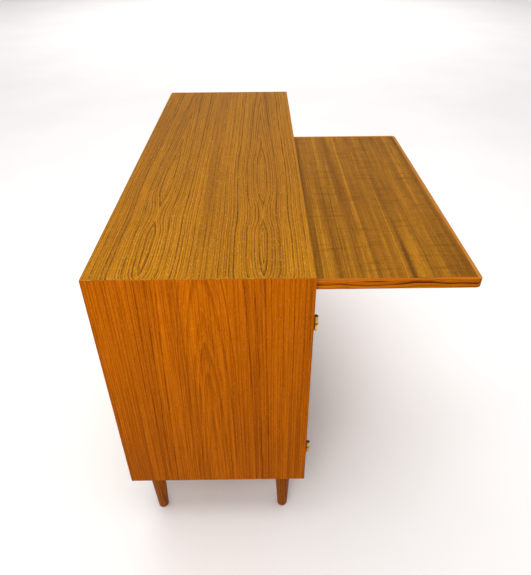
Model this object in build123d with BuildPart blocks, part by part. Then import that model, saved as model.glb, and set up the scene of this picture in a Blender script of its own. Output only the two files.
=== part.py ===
from build123d import *
import os

# A teak dressing cabinet on four turned legs. A dressing leaf slides out from under its top,
# over two doors, and three drawers fill the bay at the right. A mirror hangs inside the left door.
# Millimetres, +Z up. The front faces -Y and +X runs along the length. The origin is on the floor,
# under the middle of the cabinet and its pulled-out leaf.

# ---------------------------------------------------------------- overall sizes
case_length = 1200
case_depth = 420
case_height = 595
leg_length = 180

# ---------------------------------------------------------------- case
panel_thickness = 20
divider_thickness = 20
case_edge_radius = 1.0
back_thickness = 6
rebate_width = 10
rebate_clearance = 0.5
back_screw_columns = 7          # along the top and the bottom of the back panel
back_screw_rows = 3             # up each of its sides
back_screw_inset = 77           # from the inside corners of the case
bay_count = 3                   # bays of the same width, left to right
door_gap = 2                    # the even gap round every door and drawer front
front_thickness = 18            # doors and drawer fronts
arris_radius = 0.8

# ---------------------------------------------------------------- dressing leaf
leaf_thickness = 18
leaf_grip = 91                  # what stays inside the case when the leaf is out
leaf_top_gap = 2
leaf_side_gap = 1
leaf_under_gap = 1              # over the middle divider and the stop blocks
leaf_back_gap = 14
leaf_corner_radius = 12
leaf_arris_radius = 1.5
lipping_width = 8
leaf_running_clearance = 0.3
kicker_clearance = 0.4
runner_width = 18
runner_height = 22
runner_set_back = 24            # from the case front to the front of every runner
runner_screw_count = 4
runner_screw_front_inset = 18   # from the front of the runner
runner_screw_back_inset = 54    # from the back panel
stop_pin_diameter = 8
stop_pin_drop = 10              # below the leaf
stop_pin_seat = 10              # inside the leaf
stop_pin_inset = 12             # from the leaf's back edge
stop_pin_side_gap = 2
stop_clearance = 0.5
stop_block_depth = 14
stop_block_width = 12

# ---------------------------------------------------------------- doors, hinges and catches
hinge_inset = 77                # door corner to the middle of its hinge
hinge_height = 37
barrel_diameter = 9.5
barrel_stand_off = 1.0
knuckle_gap = 0.5
knuckle_round = 2.0
hinge_pin_diameter = 4.4
hinge_pin_clearance = 0.2
hinge_pin_rise = 14             # above the middle of the hinge
hinge_plate_thickness = 1.5
hinge_plate_width = 15
hinge_screw_spacing = 22
catch_width = 14
catch_depth = 18
catch_height = 40
catch_rise = 400                # above the inside floor
strike_thickness = 1.0
strike_clearance = 0.3

# ---------------------------------------------------------------- knobs
knob_head_diameter = 24
knob_base_diameter = 16
knob_waist_diameter = 11
knob_projection = 16
knob_waist_place = 5
knob_widest_place = 11
knob_spigot_diameter = 8
knob_spigot_length = 12
door_knob_inset = 35            # from the free edge of the door
door_knob_drop = 230            # from the top of the door
fit_clearance = 0.05            # round glued spigots, pins and screws

# ---------------------------------------------------------------- mirror
mirror_width = 290
mirror_height = 430
mirror_glass_thickness = 4
mirror_backing_thickness = 3
mirror_corner_radius = 4
mirror_clip_inset = 48          # from the mirror's side edges to the middle of a clip
mirror_clip_width = 16
mirror_clip_reach = 5           # over the glass
mirror_clip_wall = 1.5
mirror_clip_foot = 8

# ---------------------------------------------------------------- shelves
shelf_thickness = 16
shelf_rise = 262                # inside floor to the underside of a shelf
shelf_side_gap = 1
shelf_front_gap = 14            # behind the inner face of the door
shelf_back_gap = 2
shelf_pin_diameter = 5
shelf_pin_depth = 7             # into the panel
shelf_pin_reach = 9             # under the shelf
shelf_pin_inset = 45

# ---------------------------------------------------------------- drawers
drawer_count = 3
drawer_side_thickness = 10
drawer_side_gap = 2
drawer_back_thickness = 10
drawer_bottom_thickness = 4
drawer_bottom_groove = 5
drawer_bottom_rise = 8          # from the lower edge of a side
drawer_front_overlap_below = 6
drawer_front_overlap_above = 14
drawer_housing_depth = 8        # sides into the front
drawer_back_gap = 14
drawer_back_drop = 6            # the back is lower than the sides
slide_strip_height = 12
slide_groove_depth = 5
slide_side_clearance = 0.4
slide_clearance = 0.3

# ---------------------------------------------------------------- legs
leg_top_diameter = 42
leg_foot_diameter = 25.5
leg_foot_round = 4
leg_inset = 50                  # from the faces of the case to the middle of the leg
glide_diameter = 16
glide_thickness = 5
glide_stand = 2
mounting_plate_size = 62
mounting_plate_thickness = 3
mounting_plate_corner = 6
plate_screw_spacing = 46
leg_bolt_diameter = 8
leg_bolt_in_leg = 32
leg_bolt_cover = 4              # wood left above the bolt

# ---------------------------------------------------------------- screws: shank, head, length
hinge_screw = (3.0, 5.4, 14)
back_screw = (3.5, 7.0, 22)
runner_screw = (4.0, 8.0, 27)
plate_screw = (4.0, 7.5, 13)

# ---------------------------------------------------------------- places that follow from the sizes
leaf_depth = case_depth - back_thickness - leaf_back_gap
leaf_reach = leaf_depth - leaf_grip
left_x = -case_length / 2
right_x = case_length / 2
front_y = (leaf_reach - case_depth) / 2
back_y = front_y + case_depth
under_z = leg_length
top_z = leg_length + case_height
inner_left = left_x + panel_thickness
inner_right = right_x - panel_thickness
floor_z = under_z + panel_thickness
ceiling_z = top_z - panel_thickness
inner_back = back_y - back_thickness
bay_width = (inner_right - inner_left - (bay_count - 1) * divider_thickness) / bay_count
middle_divider_left = inner_left + bay_width
middle_divider_right = middle_divider_left + divider_thickness
main_divider_left = middle_divider_right + bay_width
main_divider_right = main_divider_left + divider_thickness

leaf_top = ceiling_z - leaf_top_gap
leaf_under = leaf_top - leaf_thickness
leaf_left = inner_left + leaf_side_gap
leaf_right = main_divider_left - leaf_side_gap
leaf_front = front_y - leaf_reach
leaf_back = leaf_front + leaf_depth
runner_top = leaf_under - leaf_running_clearance
runner_front = front_y + runner_set_back
stop_pin_y = leaf_back - stop_pin_inset

door_bottom = floor_z + door_gap
door_top = leaf_under - door_gap
door_back = front_y + front_thickness
hinge_centres = (door_bottom + hinge_inset, door_top - hinge_inset)
barrel_y = front_y - barrel_stand_off - barrel_diameter / 2
left_hinge_x = inner_left + door_gap / 2
middle_hinge_x = main_divider_left - door_gap / 2
catch_z = floor_z + catch_rise
shelf_under = floor_z + shelf_rise

bottom_flush = (Align.CENTER, Align.CENTER, Align.MIN)
top_flush = (Align.CENTER, Align.CENTER, Align.MAX)
pieces = {}


def block(xs, ys, zs, mode=Mode.ADD):
    """A straight block between two places along each axis, in the piece being made."""
    middle = (sum(xs) / 2, sum(ys) / 2, sum(zs) / 2)
    with Locations(middle):
        Box(abs(xs[1] - xs[0]), abs(ys[1] - ys[0]), abs(zs[1] - zs[0]), mode=mode)


def spread(first, last, count):
    """Evenly spaced places from first to last."""
    return [first + (last - first) * step / (count - 1) for step in range(count)]


def countersunk_screws(seats, size):
    """One screw at each seat, with the flat of its head in the seat's plane."""
    shank, head, length = size
    with BuildPart() as screws:
        with Locations(*seats):
            Cone(shank / 2, head / 2, (head - shank) / 2, align=top_flush)
            Cylinder(shank / 2, length, align=top_flush)
    return screws


# ================================================================ fasteners that the boards are cut for
left_wall = Vector(1, 0, 0)
right_wall = Vector(-1, 0, 0)
hinge_screw_y = front_y + hinge_plate_width / 2
hinge_screw_heights = [
    centre + offset for centre in hinge_centres for offset in (-hinge_screw_spacing / 2, hinge_screw_spacing / 2)
]


def hinge_screws(wall_x, facing):
    """Screws through the hinge plates in one wall, with their heads facing the gap."""
    seats = [Plane((wall_x, hinge_screw_y, height), z_dir=facing) for height in hinge_screw_heights]
    return seats


case_hinge_screws = countersunk_screws(
    hinge_screws(inner_left, left_wall) + hinge_screws(main_divider_left, right_wall), hinge_screw
)
pieces["case_hinge_screws"] = case_hinge_screws

left_door_hinge_screws = countersunk_screws(hinge_screws(inner_left + door_gap, right_wall), hinge_screw)
pieces["left_door_hinge_screws"] = left_door_hinge_screws

middle_door_hinge_screws = countersunk_screws(hinge_screws(main_divider_left - door_gap, left_wall), hinge_screw)
pieces["middle_door_hinge_screws"] = middle_door_hinge_screws

# The back panel's screws stand in the middle of the rebate's ledge, all round.
ledge = rebate_width / 2
along_back = spread(inner_left + back_screw_inset, inner_right - back_screw_inset, back_screw_columns)
up_back = spread(floor_z + back_screw_inset, ceiling_z - back_screw_inset, back_screw_rows)
back_screw_places = [(x, z) for x in along_back for z in (floor_z - ledge, ceiling_z + ledge)]
back_screw_places += [(x, z) for x in (inner_left - ledge, inner_right + ledge) for z in up_back]
back_panel_screws = countersunk_screws(
    [Plane((x, back_y, z), z_dir=(0, 1, 0)) for x, z in back_screw_places], back_screw
)
pieces["back_panel_screws"] = back_panel_screws

# Screws through the leaf's runners.
left_runner_face = inner_left + runner_width
right_runner_face = main_divider_left - runner_width
runner_screw_places = spread(
    runner_front + runner_screw_front_inset, inner_back - runner_screw_back_inset, runner_screw_count
)
runner_middle = runner_top - runner_height / 2
runner_screws = countersunk_screws(
    [Plane((left_runner_face, y, runner_middle), z_dir=left_wall) for y in runner_screw_places]
    + [Plane((right_runner_face, y, runner_middle), z_dir=right_wall) for y in runner_screw_places],
    runner_screw,
)
pieces["runner_screws"] = runner_screws

# Under the case, four legs on mounting plates.
leg_places = {
    "leg_front_left": (left_x + leg_inset, front_y + leg_inset),
    "leg_front_right": (right_x - leg_inset, front_y + leg_inset),
    "leg_back_left": (left_x + leg_inset, back_y - leg_inset),
    "leg_back_right": (right_x - leg_inset, back_y - leg_inset),
}
screw_offset = plate_screw_spacing / 2
plate_screws = countersunk_screws(
    [
        Plane((x + across, y + along, under_z), z_dir=(0, 0, -1))
        for x, y in leg_places.values()
        for across in (-screw_offset, screw_offset)
        for along in (-screw_offset, screw_offset)
    ],
    plate_screw,
)
pieces["plate_screws"] = plate_screws

with BuildPart() as leg_bolts:
    with Locations(*[(x, y, under_z - leg_bolt_in_leg) for x, y in leg_places.values()]):
        Cylinder(
            leg_bolt_diameter / 2, leg_bolt_in_leg + panel_thickness - leg_bolt_cover, align=bottom_flush
        )
pieces["leg_bolts"] = leg_bolts

with BuildPart() as leg_mounting_plates:
    with BuildSketch(Plane.XY.offset(under_z)):
        with Locations(*leg_places.values()):
            RectangleRounded(mounting_plate_size, mounting_plate_size, mounting_plate_corner)
    extrude(amount=mounting_plate_thickness)
# The recess in the case bottom is the plates' full outline, without their holes.
plate_recess = leg_mounting_plates.part
with BuildPart() as drilled_plates:
    add(plate_recess)
    add(leg_bolts.part, mode=Mode.SUBTRACT)
    add(plate_screws.part, mode=Mode.SUBTRACT)
pieces["leg_mounting_plates"] = drilled_plates

# Shelf pins: pairs in the walls of the left and the middle bay.
shelf_front = door_back + shelf_front_gap
shelf_back = inner_back - shelf_back_gap
shelf_bays = {
    "left_shelf": (inner_left, middle_divider_left),
    "middle_shelf": (middle_divider_right, main_divider_left),
}
shelf_pin_z = shelf_under - shelf_pin_diameter / 2
shelf_pin_ys = (shelf_front + shelf_pin_inset, shelf_back - shelf_pin_inset)
with BuildPart() as shelf_pins:
    for bay_left, bay_right in shelf_bays.values():
        for start_x, inward in ((bay_left - shelf_pin_depth, 1), (bay_right + shelf_pin_depth, -1)):
            with Locations(*[Plane((start_x, y, shelf_pin_z), z_dir=(inward, 0, 0)) for y in shelf_pin_ys]):
                Cylinder(shelf_pin_diameter / 2, shelf_pin_depth + shelf_pin_reach, align=bottom_flush)
pieces["shelf_pins"] = shelf_pins


# ================================================================ hinges
def hinge_plate(axis_x, side, centre, mode=Mode.ADD):
    """The flat plate of one hinge half, let into the wood on one side of the gap."""
    wall = axis_x + side * door_gap / 2
    block(
        (wall, wall + side * hinge_plate_thickness),
        (front_y, front_y + hinge_plate_width),
        (centre - hinge_height / 2, centre + hinge_height / 2),
        mode,
    )


def hinge_neck(axis_x, side, low, high):
    """The strip that joins the plate to its knuckle."""
    wall = axis_x + side * door_gap / 2
    block((wall, wall + side * hinge_plate_thickness), (barrel_y, front_y), (low, high))


# Lower knuckles with their pins, on plates in the end panel and in the main divider.
with BuildPart() as hinge_case_halves:
    for axis_x, side in ((left_hinge_x, -1), (middle_hinge_x, 1)):
        for centre in hinge_centres:
            low = centre - hinge_height / 2
            high = centre - knuckle_gap / 2
            with Locations((axis_x, barrel_y, low)):
                Cylinder(barrel_diameter / 2, high - low, align=bottom_flush)
            fillet(hinge_case_halves.edges(Select.LAST).sort_by(Axis.Z)[0], knuckle_round)
            hinge_neck(axis_x, side, low + knuckle_round, high)
            with Locations((axis_x, barrel_y, low + knuckle_round)):
                Cylinder(
                    hinge_pin_diameter / 2, hinge_height / 2 - knuckle_round + hinge_pin_rise, align=bottom_flush
                )
            hinge_plate(axis_x, side, centre)
    add(case_hinge_screws.part, mode=Mode.SUBTRACT)
pieces["hinge_case_halves"] = hinge_case_halves


def door_hinge_halves(axis_x, side, screws):
    """Upper knuckles, bored for the pins, on plates in the door."""
    with BuildPart() as halves:
        for centre in hinge_centres:
            low = centre + knuckle_gap / 2
            high = centre + hinge_height / 2
            with Locations((axis_x, barrel_y, low)):
                Cylinder(barrel_diameter / 2, high - low, align=bottom_flush)
            fillet(halves.edges(Select.LAST).sort_by(Axis.Z)[-1], knuckle_round)
            hinge_neck(axis_x, side, low, high - knuckle_round)
            hinge_plate(axis_x, side, centre)
            with Locations((axis_x, barrel_y, low)):
                Cylinder(
                    hinge_pin_diameter / 2 + hinge_pin_clearance,
                    hinge_pin_rise + hinge_pin_clearance,
                    align=bottom_flush,
                    mode=Mode.SUBTRACT,
                )
        add(screws.part, mode=Mode.SUBTRACT)
    return halves


pieces["left_hinge_door_halves"] = door_hinge_halves(left_hinge_x, 1, left_door_hinge_screws)
pieces["middle_hinge_door_halves"] = door_hinge_halves(middle_hinge_x, -1, middle_door_hinge_screws)

# ================================================================ case
with BuildPart() as case_block:
    block((left_x, right_x), (front_y, back_y), (under_z, top_z))
    fillet(case_block.edges(), case_edge_radius)

with BuildPart() as back_rebate:
    block(
        (inner_left - rebate_width, inner_right + rebate_width),
        (inner_back, back_y),
        (floor_z - rebate_width, ceiling_z + rebate_width),
    )

case_section = Plane.XZ.offset(-back_y)

with BuildPart() as case_top:
    with BuildSketch(case_section):
        Polygon((left_x, top_z), (inner_left, ceiling_z), (inner_right, ceiling_z), (right_x, top_z), align=None)
    extrude(amount=case_depth)
    add(case_block.part, mode=Mode.INTERSECT)
    add(back_rebate.part, mode=Mode.SUBTRACT)
    add(back_panel_screws.part, mode=Mode.SUBTRACT)
pieces["case_top"] = case_top

with BuildPart() as case_bottom:
    with BuildSketch(case_section):
        Polygon((left_x, under_z), (right_x, under_z), (inner_right, floor_z), (inner_left, floor_z), align=None)
    extrude(amount=case_depth)
    add(case_block.part, mode=Mode.INTERSECT)
    add(back_rebate.part, mode=Mode.SUBTRACT)
    add(back_panel_screws.part, mode=Mode.SUBTRACT)
    add(plate_recess, mode=Mode.SUBTRACT)
    add(leg_bolts.part, mode=Mode.SUBTRACT)
    add(plate_screws.part, mode=Mode.SUBTRACT)
pieces["case_bottom"] = case_bottom

with BuildPart() as left_end_panel:
    with BuildSketch(case_section):
        Polygon((left_x, under_z), (inner_left, floor_z), (inner_left, ceiling_z), (left_x, top_z), align=None)
    extrude(amount=case_depth)
    add(case_block.part, mode=Mode.INTERSECT)
    add(back_rebate.part, mode=Mode.SUBTRACT)
    for centre in hinge_centres:
        hinge_plate(left_hinge_x, -1, centre, Mode.SUBTRACT)
    add(case_hinge_screws.part, mode=Mode.SUBTRACT)
    add(back_panel_screws.part, mode=Mode.SUBTRACT)
    add(runner_screws.part, mode=Mode.SUBTRACT)
    add(shelf_pins.part, mode=Mode.SUBTRACT)
pieces["left_end_panel"] = left_end_panel

with BuildPart() as right_end_panel:
    with BuildSketch(case_section):
        Polygon((right_x, under_z), (right_x, top_z), (inner_right, ceiling_z), (inner_right, floor_z), align=None)
    extrude(amount=case_depth)
    add(case_block.part, mode=Mode.INTERSECT)
    add(back_rebate.part, mode=Mode.SUBTRACT)
    add(back_panel_screws.part, mode=Mode.SUBTRACT)
pieces["right_end_panel"] = right_end_panel

with BuildPart() as main_divider:
    block((main_divider_left, main_divider_right), (front_y, inner_back), (floor_z, ceiling_z))
    for centre in hinge_centres:
        hinge_plate(middle_hinge_x, 1, centre, Mode.SUBTRACT)
    add(case_hinge_screws.part, mode=Mode.SUBTRACT)
    add(runner_screws.part, mode=Mode.SUBTRACT)
    add(shelf_pins.part, mode=Mode.SUBTRACT)
pieces["main_divider"] = main_divider

# The middle divider stops just short of the leaf that slides over it.
with BuildPart() as middle_divider:
    block((middle_divider_left, middle_divider_right), (front_y, inner_back), (floor_z, leaf_under - leaf_under_gap))
    add(shelf_pins.part, mode=Mode.SUBTRACT)
pieces["middle_divider"] = middle_divider

with BuildPart() as back_panel:
    inset = rebate_width - rebate_clearance
    block((inner_left - inset, inner_right + inset), (inner_back, back_y), (floor_z - inset, ceiling_z + inset))
    add(back_panel_screws.part, mode=Mode.SUBTRACT)
pieces["back_panel"] = back_panel

# ================================================================ shelves
for name, (bay_left, bay_right) in shelf_bays.items():
    with BuildPart() as shelf:
        block(
            (bay_left + shelf_side_gap, bay_right - shelf_side_gap),
            (shelf_front, shelf_back),
            (shelf_under, shelf_under + shelf_thickness),
        )
        fillet(shelf.faces().sort_by(Axis.Y)[0].edges(), arris_radius)
    pieces[name] = shelf

# ================================================================ what carries and stops the leaf
runner_heights = (runner_top - runner_height, runner_top)
with BuildPart() as leaf_runners:
    block((inner_left, left_runner_face), (runner_front, inner_back), runner_heights)
    block((right_runner_face, main_divider_left), (runner_front, inner_back), runner_heights)
    add(runner_screws.part, mode=Mode.SUBTRACT)
pieces["leaf_runners"] = leaf_runners

# Kicker strips above the leaf's edges keep it level when it is out.
with BuildPart() as leaf_kicker_strips:
    kicker_under = leaf_top + kicker_clearance
    block((leaf_left, left_runner_face), (runner_front, inner_back), (kicker_under, ceiling_z))
    block((right_runner_face, leaf_right), (runner_front, inner_back), (kicker_under, ceiling_z))
pieces["leaf_kicker_strips"] = leaf_kicker_strips

# Blocks on the runners that the leaf's pins meet, fully out and fully in.
pin_half = stop_pin_diameter / 2 + stop_clearance
front_block = (stop_pin_y - pin_half - stop_block_depth, stop_pin_y - pin_half)
rear_block = (stop_pin_y + leaf_reach + pin_half, stop_pin_y + leaf_reach + pin_half + stop_block_depth)
stop_block_heights = (runner_top - runner_height, leaf_under - leaf_under_gap)
with BuildPart() as leaf_stop_blocks:
    for block_ends in (front_block, rear_block):
        block((left_runner_face, left_runner_face + stop_block_width), block_ends, stop_block_heights)
        block((right_runner_face - stop_block_width, right_runner_face), block_ends, stop_block_heights)
pieces["leaf_stop_blocks"] = leaf_stop_blocks

# ================================================================ the dressing leaf, drawn pulled out
stop_pin_xs = (
    left_runner_face + stop_pin_side_gap + stop_pin_diameter / 2,
    right_runner_face - stop_pin_side_gap - stop_pin_diameter / 2,
)
with BuildPart() as leaf_stop_pins:
    with Locations(*[(x, stop_pin_y, leaf_under - stop_pin_drop) for x in stop_pin_xs]):
        Cylinder(stop_pin_diameter / 2, stop_pin_drop + stop_pin_seat, align=bottom_flush)
pieces["leaf_stop_pins"] = leaf_stop_pins

with BuildPart() as leaf_blank:
    block((leaf_left, leaf_right), (leaf_front, leaf_back), (leaf_under, leaf_top))
    fillet(leaf_blank.edges().filter_by(Axis.Z).group_by(Axis.Y)[0], leaf_corner_radius)
    fillet(leaf_blank.faces().sort_by(Axis.Z)[-1].edges(), leaf_arris_radius)
    fillet(leaf_blank.faces().sort_by(Axis.Z)[0].edges(), arris_radius)

core_left = leaf_left + lipping_width
core_right = leaf_right - lipping_width
core_front = leaf_front + lipping_width
with BuildPart() as leaf_panel:
    block((core_left, core_right), (core_front, leaf_back), (leaf_under, leaf_top))
    add(leaf_blank.part, mode=Mode.INTERSECT)
    add(leaf_stop_pins.part, mode=Mode.SUBTRACT)
pieces["leaf_panel"] = leaf_panel

lipping_outlines = {
    "leaf_front_lipping": (
        (leaf_left, leaf_front), (leaf_right, leaf_front), (core_right, core_front), (core_left, core_front)
    ),
    "leaf_left_lipping": (
        (leaf_left, leaf_front), (core_left, core_front), (core_left, leaf_back), (leaf_left, leaf_back)
    ),
    "leaf_right_lipping": (
        (leaf_right, leaf_front), (leaf_right, leaf_back), (core_right, leaf_back), (core_right, core_front)
    ),
}
for name, outline in lipping_outlines.items():
    with BuildPart() as lipping:
        with BuildSketch(Plane.XY.offset(leaf_under)):
            Polygon(*outline, align=None)
        extrude(amount=leaf_thickness)
        add(leaf_blank.part, mode=Mode.INTERSECT)
    pieces[name] = lipping


# ================================================================ knobs
def turned_knob(x, z):
    """A turned knob whose spigot is glued into a front."""
    spigot = knob_spigot_diameter / 2
    base = knob_base_diameter / 2
    waist = knob_waist_diameter / 2
    head = knob_head_diameter / 2
    with BuildPart() as knob:
        with BuildSketch(Plane((x, front_y, z), x_dir=(1, 0, 0), z_dir=(0, 0, 1))):
            with BuildLine():
                Polyline((0, knob_spigot_length), (spigot, knob_spigot_length), (spigot, 0), (base, 0))
                ThreePointArc((base, 0), (waist, -knob_waist_place), (head, -knob_widest_place))
                Spline((head, -knob_widest_place), (0, -knob_projection), tangents=((0, -1), (-1, 0)))
                Line((0, -knob_projection), (0, knob_spigot_length))
            make_face()
        revolve(axis=Axis((x, front_y, z), (0, 1, 0)))
    return knob


def knob_hole(x, z):
    """The hole for a knob's spigot, cut from the front being made."""
    with Locations(Plane((x, front_y, z), z_dir=(0, 1, 0))):
        Cylinder(
            knob_spigot_diameter / 2 + fit_clearance, knob_spigot_length, align=bottom_flush, mode=Mode.SUBTRACT
        )


# ================================================================ doors
door_knob_z = door_top - door_knob_drop
left_door_right = middle_divider_left - door_gap
middle_door_left = middle_divider_right + door_gap

with BuildPart() as left_door_panel:
    block((inner_left + door_gap, left_door_right), (front_y, door_back), (door_bottom, door_top))
    fillet(left_door_panel.faces().sort_by(Axis.Y)[0].edges(), arris_radius)
    for centre in hinge_centres:
        hinge_plate(left_hinge_x, 1, centre, Mode.SUBTRACT)
    add(left_door_hinge_screws.part, mode=Mode.SUBTRACT)
    knob_hole(left_door_right - door_knob_inset, door_knob_z)
pieces["left_door_panel"] = left_door_panel
pieces["left_door_knob"] = turned_knob(left_door_right - door_knob_inset, door_knob_z)

with BuildPart() as middle_door_panel:
    block((middle_door_left, main_divider_left - door_gap), (front_y, door_back), (door_bottom, door_top))
    fillet(middle_door_panel.faces().sort_by(Axis.Y)[0].edges(), arris_radius)
    for centre in hinge_centres:
        hinge_plate(middle_hinge_x, -1, centre, Mode.SUBTRACT)
    add(middle_door_hinge_screws.part, mode=Mode.SUBTRACT)
    knob_hole(middle_door_left + door_knob_inset, door_knob_z)
pieces["middle_door_panel"] = middle_door_panel
pieces["middle_door_knob"] = turned_knob(middle_door_left + door_knob_inset, door_knob_z)

# Magnetic catches on both sides of the middle divider, and their strikes on the doors.
catch_front = door_back + strike_thickness + strike_clearance
catch_depths = (catch_front, catch_front + catch_depth)
strike_depths = (door_back, door_back + strike_thickness)
catch_heights = (catch_z - catch_height / 2, catch_z + catch_height / 2)
with BuildPart() as door_catches:
    block((middle_divider_left - catch_width, middle_divider_left), catch_depths, catch_heights)
    block((middle_divider_right, middle_divider_right + catch_width), catch_depths, catch_heights)
pieces["door_catches"] = door_catches

with BuildPart() as left_door_strike:
    block((left_door_right - catch_width, left_door_right - arris_radius), strike_depths, catch_heights)
pieces["left_door_strike"] = left_door_strike

with BuildPart() as middle_door_strike:
    block((middle_door_left + arris_radius, middle_door_left + catch_width), strike_depths, catch_heights)
pieces["middle_door_strike"] = middle_door_strike

# ================================================================ mirror inside the left door
mirror_x = (inner_left + door_gap + left_door_right) / 2
mirror_z = (door_bottom + door_top) / 2
mirror_sides = (mirror_x - mirror_width / 2, mirror_x + mirror_width / 2)
mirror_ends = (mirror_z - mirror_height / 2, mirror_z + mirror_height / 2)
backing_back = door_back + mirror_backing_thickness
glass_back = backing_back + mirror_glass_thickness

with BuildPart() as mirror_backing:
    block(mirror_sides, (door_back, backing_back), mirror_ends)
pieces["mirror_backing"] = mirror_backing

with BuildPart() as mirror_plate:
    block(mirror_sides, (backing_back, glass_back), mirror_ends)
    fillet(mirror_plate.edges().filter_by(Axis.Y), mirror_corner_radius)
pieces["mirror_plate"] = mirror_plate

with BuildPart() as mirror_clips:
    for x in (mirror_sides[0] + mirror_clip_inset, mirror_sides[1] - mirror_clip_inset):
        clip_sides = (x - mirror_clip_width / 2, x + mirror_clip_width / 2)
        for end, outward in zip(mirror_ends, (-1, 1)):
            over_glass = (end - outward * mirror_clip_reach, end + outward * mirror_clip_wall)
            foot = (end, end + outward * mirror_clip_foot)
            block(clip_sides, (door_back, glass_back), (end, end + outward * mirror_clip_wall))
            block(clip_sides, (glass_back, glass_back + mirror_clip_wall), over_glass)
            block(clip_sides, (door_back, door_back + mirror_clip_wall), foot)
pieces["mirror_clips"] = mirror_clips

# ================================================================ drawers
drawer_left = main_divider_right + door_gap
drawer_right = inner_right - door_gap
drawer_front_height = (ceiling_z - floor_z - (drawer_count + 1) * door_gap) / drawer_count
left_side = (main_divider_right + drawer_side_gap, main_divider_right + drawer_side_gap + drawer_side_thickness)
right_side = (inner_right - drawer_side_gap - drawer_side_thickness, inner_right - drawer_side_gap)
side_front = door_back - drawer_housing_depth
side_back = inner_back - drawer_back_gap
strip_reach = drawer_side_gap + slide_groove_depth - slide_side_clearance

with BuildPart() as drawer_runners:
    for number in range(drawer_count):
        front_bottom = floor_z + door_gap + number * (drawer_front_height + door_gap)
        strip_z = front_bottom + drawer_front_height / 2
        strip_heights = (strip_z - slide_strip_height / 2, strip_z + slide_strip_height / 2)
        block((main_divider_right, main_divider_right + strip_reach), (runner_front, inner_back), strip_heights)
        block((inner_right - strip_reach, inner_right), (runner_front, inner_back), strip_heights)
pieces["drawer_runners"] = drawer_runners

for number in range(drawer_count):
    front_bottom = floor_z + door_gap + number * (drawer_front_height + door_gap)
    side_bottom = front_bottom + drawer_front_overlap_below
    side_top = front_bottom + drawer_front_height - drawer_front_overlap_above
    side_heights = (side_bottom, side_top)
    base_under = side_bottom + drawer_bottom_rise
    base_top = base_under + drawer_bottom_thickness
    strip_z = front_bottom + drawer_front_height / 2
    groove_half = slide_strip_height / 2 + slide_clearance
    knob_x = (drawer_left + drawer_right) / 2
    base_left = left_side[1] - drawer_bottom_groove
    base_right = right_side[0] + drawer_bottom_groove

    with BuildPart() as drawer_sides:
        block(left_side, (side_front, side_back), side_heights)
        block(right_side, (side_front, side_back), side_heights)
        groove_heights = (strip_z - groove_half, strip_z + groove_half)
        groove_run = (door_back, side_back)
        block((left_side[0], left_side[0] + slide_groove_depth), groove_run, groove_heights, Mode.SUBTRACT)
        block((right_side[1] - slide_groove_depth, right_side[1]), groove_run, groove_heights, Mode.SUBTRACT)
        block((base_left, base_right), (side_front, side_back), (base_under, base_top), Mode.SUBTRACT)
    pieces[f"drawer_{number + 1}_sides"] = drawer_sides

    with BuildPart() as drawer_bottom:
        block((base_left, base_right), (side_front, side_back), (base_under, base_top))
    pieces[f"drawer_{number + 1}_bottom"] = drawer_bottom

    with BuildPart() as drawer_back:
        block(
            (left_side[1], right_side[0]),
            (side_back - drawer_back_thickness, side_back),
            (base_top, side_top - drawer_back_drop),
        )
    pieces[f"drawer_{number + 1}_back"] = drawer_back

    with BuildPart() as drawer_front:
        block(
            (drawer_left, drawer_right), (front_y, door_back), (front_bottom, front_bottom + drawer_front_height)
        )
        fillet(drawer_front.faces().sort_by(Axis.Y)[0].edges(), arris_radius)
        add(drawer_sides.part, mode=Mode.SUBTRACT)
        add(drawer_bottom.part, mode=Mode.SUBTRACT)
        knob_hole(knob_x, strip_z)
    pieces[f"drawer_{number + 1}_front"] = drawer_front
    pieces[f"drawer_{number + 1}_knob"] = turned_knob(knob_x, strip_z)

# ================================================================ legs
for name, (x, y) in leg_places.items():
    with BuildPart() as leg:
        with Locations((x, y, glide_stand)):
            Cone(leg_foot_diameter / 2, leg_top_diameter / 2, under_z - glide_stand, align=bottom_flush)
        fillet(leg.edges().sort_by(Axis.Z)[0], leg_foot_round)
        with Locations((x, y, 0)):
            Cylinder(glide_diameter / 2, glide_thickness, align=bottom_flush, mode=Mode.SUBTRACT)
        add(leg_bolts.part, mode=Mode.SUBTRACT)
    pieces[name] = leg

with BuildPart() as foot_glides:
    with Locations(*[(x, y, 0) for x, y in leg_places.values()]):
        Cylinder(glide_diameter / 2, glide_thickness, align=bottom_flush)
pieces["foot_glides"] = foot_glides

# ================================================================ one file for each piece
os.makedirs("parts", exist_ok=True)
for name, piece in pieces.items():
    piece.part.label = name
    export_step(piece.part, f"parts/{name}.step")
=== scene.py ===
from math import radians

import bpy
from mathutils import Matrix, Vector


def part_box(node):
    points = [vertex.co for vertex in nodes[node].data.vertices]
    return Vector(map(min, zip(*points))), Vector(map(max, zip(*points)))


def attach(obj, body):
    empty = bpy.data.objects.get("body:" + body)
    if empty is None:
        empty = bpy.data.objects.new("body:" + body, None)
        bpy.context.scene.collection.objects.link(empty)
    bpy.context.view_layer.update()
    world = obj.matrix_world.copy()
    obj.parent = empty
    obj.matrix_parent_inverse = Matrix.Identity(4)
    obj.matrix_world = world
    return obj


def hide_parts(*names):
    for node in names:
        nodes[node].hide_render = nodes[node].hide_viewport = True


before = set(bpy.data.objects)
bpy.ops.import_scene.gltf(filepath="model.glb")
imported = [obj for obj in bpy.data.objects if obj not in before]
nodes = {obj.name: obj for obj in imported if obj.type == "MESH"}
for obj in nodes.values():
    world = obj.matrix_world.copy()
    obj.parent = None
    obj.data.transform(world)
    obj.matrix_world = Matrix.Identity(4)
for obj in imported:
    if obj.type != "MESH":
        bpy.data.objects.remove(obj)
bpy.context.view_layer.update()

# A teak dressing cabinet: veneered boards, a sliding leaf, two doors and three drawers on turned legs.
# Metres, in the frame's own axes: the front faces -Y, +X runs along the length, +Z is up.

mm = 0.001

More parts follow.
